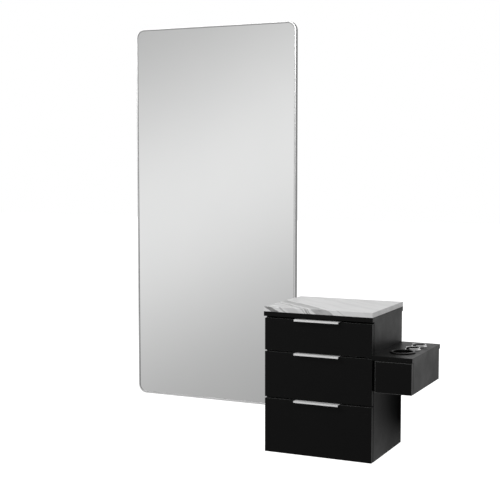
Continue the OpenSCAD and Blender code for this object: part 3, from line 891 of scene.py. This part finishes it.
def add_floor():
    """A pale floor, as bright to the camera as the air behind it. Glossy surfaces look past it."""
    floor_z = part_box("marble_top")[1].z - COUNTER_HEIGHT
    shape = bmesh.new()
    bmesh.ops.create_grid(
        shape, x_segments=8, y_segments=8, size=FLOOR_SIDE / 2,
        matrix=Matrix.Translation((0, 0, floor_z)),
    )
    mesh = bpy.data.meshes.new("floor")
    shape.to_mesh(mesh)
    shape.free()
    floor = bpy.data.objects.new("floor", mesh)
    bpy.context.scene.collection.objects.link(floor)
    floor.visible_glossy = False
    surface = Surface("floor", Roughness=0.9, Specular_IOR_Level=0.0)
    surface.colour(surface.mix(surface.noise(2, 2), grey(0.62), grey(0.66)))
    seen = surface.node("ShaderNodeLightPath").outputs["Is Camera Ray"]
    surface.shader.inputs["Emission Color"].default_value = grey(1.0)
    surface.feed(surface.shader.inputs["Emission Strength"], surface.math("MULTIPLY", seen, FLOOR_GLOW))
    mesh.materials.append(surface.material)


# How bright the room is behind the station
BACK_LIGHT = 0.88
# The shade where the station meets its wall: its middle, and how far it reaches along X and Z
SHADE_MIDDLE = Vector((0.24, 0, -0.36))
SHADE_REACH = (0.25, 0.32)
# The card's lower left and upper right corners, (x, z), and how far behind the wall's plane it is
SHADE_CARD = ((0.10, -0.80), (0.80, 0.0))
SHADE_CARD_Y = 0.03


def add_shade_card():
    """A card behind the tool box that only reflections see. It is as bright as the room,
    but for the soft shade that a wall would have close to the station."""
    (left, bottom), (right, top) = SHADE_CARD
    shape = bmesh.new()
    corners = ((left, bottom), (right, bottom), (right, top), (left, top))
    shape.faces.new([shape.verts.new((x, SHADE_CARD_Y, z)) for x, z in corners])
    mesh = bpy.data.meshes.new("shade_card")
    shape.to_mesh(mesh)
    shape.free()
    card = bpy.data.objects.new("shade_card", mesh)
    bpy.context.scene.collection.objects.link(card)
    for ray in ("camera", "diffuse", "transmission", "shadow"):
        setattr(card, "visible_" + ray, False)
    surface = Surface("shade_card", Roughness=1.0, Specular_IOR_Level=0.0)
    surface.colour(grey(0.0))
    off_middle = surface.node(
        "ShaderNodeVectorMath", {0: surface.place, 1: SHADE_MIDDLE}, operation="SUBTRACT"
    ).outputs[0]
    reach = Vector((1 / SHADE_REACH[0], 0, 1 / SHADE_REACH[1]))
    scaled = surface.node(
        "ShaderNodeVectorMath", {0: off_middle, 1: reach}, operation="MULTIPLY"
    ).outputs[0]
    away = surface.node("ShaderNodeVectorMath", {0: scaled}, operation="LENGTH").outputs["Value"]
    glow = surface.spread(away, 0.0, BACK_LIGHT, 0.2, 1.1)
    surface.shader.inputs["Emission Color"].default_value = grey(1.0)
    surface.feed(surface.shader.inputs["Emission Strength"], glow)
    mesh.materials.append(surface.material)


def add_softbox(name, place, target, width, height, power):
    light = bpy.data.lights.new(name, "AREA")
    light.shape = "RECTANGLE"
    light.size = width
    light.size_y = height
    light.energy = power
    softbox = bpy.data.objects.new(name, light)
    softbox.location = place
    softbox.rotation_euler = (Vector(target) - Vector(place)).to_track_quat("-Z", "Y").to_euler()
    softbox.visible_camera = False
    bpy.context.scene.collection.objects.link(softbox)


# The bright band that the mirror shows: a tilted sheet of light low in front of the station
BAND_SEEN_LEFT = Vector((-0.513, -0.857, -0.051))
BAND_SEEN_RIGHT = Vector((-0.391, -0.920, 0.017))
BAND_WIDTH = math.sin(math.radians(7.2))
BAND_LIGHT = 0.39
# How bright the room is in front of the station; BACK_LIGHT is for behind it
FRONT_LIGHT = 0.43
# The share of that light that comes from the far right, and the share that comes from below
RIGHT_SHARE = 0.6
LOW_SHARE = 0.88
BACKDROP_LIGHT = 1.0


def add_room():
    """White to the camera. To the object it is a soft grey room with a bright band in front."""
    world = bpy.data.worlds.new("room")
    bpy.context.scene.world = world
    world.use_nodes = True
    tree = world.node_tree
    background = tree.nodes["Background"]

    def maths(operation, a, b=0.0):
        node = tree.nodes.new("ShaderNodeMath")
        node.operation = operation
        for socket, value in zip(node.inputs, (a, b)):
            if isinstance(value, bpy.types.NodeSocket):
                tree.links.new(value, socket)
            else:
                socket.default_value = value
        return node.outputs[0]

    towards = tree.nodes.new("ShaderNodeTexCoord").outputs["Generated"]
    across = tree.nodes.new("ShaderNodeVectorMath")
    across.operation = "DOT_PRODUCT"
    tree.links.new(towards, across.inputs[0])
    across.inputs[1].default_value = BAND_SEEN_LEFT.cross(BAND_SEEN_RIGHT).normalized() / BAND_WIDTH
    off_band = across.outputs["Value"]
    band = maths("POWER", math.e, maths("MULTIPLY", maths("MULTIPLY", off_band, off_band), -1.0))
    parts = tree.nodes.new("ShaderNodeSeparateXYZ")
    tree.links.new(towards, parts.inputs[0])

    def graded(axis, start, end, low, high):
        """A value from low to high as one part of the direction goes from start to end."""
        grade = tree.nodes.new("ShaderNodeMapRange")
        grade.interpolation_type = "SMOOTHSTEP"
        tree.links.new(parts.outputs[axis], grade.inputs["Value"])
        for socket, value in zip(("From Min", "From Max", "To Min", "To Max"), (start, end, low, high)):
            grade.inputs[socket].default_value = value
        return grade.outputs["Result"]

    wash = graded("Y", -0.3, 0.5, FRONT_LIGHT, BACK_LIGHT)
    wash = maths("MULTIPLY", wash, graded("X", 0.45, 0.9, 1, RIGHT_SHARE))
    wash = maths("MULTIPLY", wash, graded("Z", 0.0, -0.3, 1, LOW_SHARE))
    lit = maths("ADD", wash, maths("MULTIPLY", band, graded("Y", -0.2, -0.8, 0, BAND_LIGHT)))
    seen = tree.nodes.new("ShaderNodeLightPath").outputs["Is Camera Ray"]
    strength = maths("MAXIMUM", lit, maths("MULTIPLY", seen, BACKDROP_LIGHT))
    tree.links.new(strength, background.inputs["Strength"])
    background.inputs["Color"].default_value = (1, 1, 1, 1)


add_floor()
add_shade_card()
add_room()
add_softbox(
    "key", place=(-2.2, -3.0, 2.8), target=(-0.2, -0.2, 0.1), width=1.6, height=1.2, power=95
)
bpy.context.scene.view_settings.view_transform = "Standard"
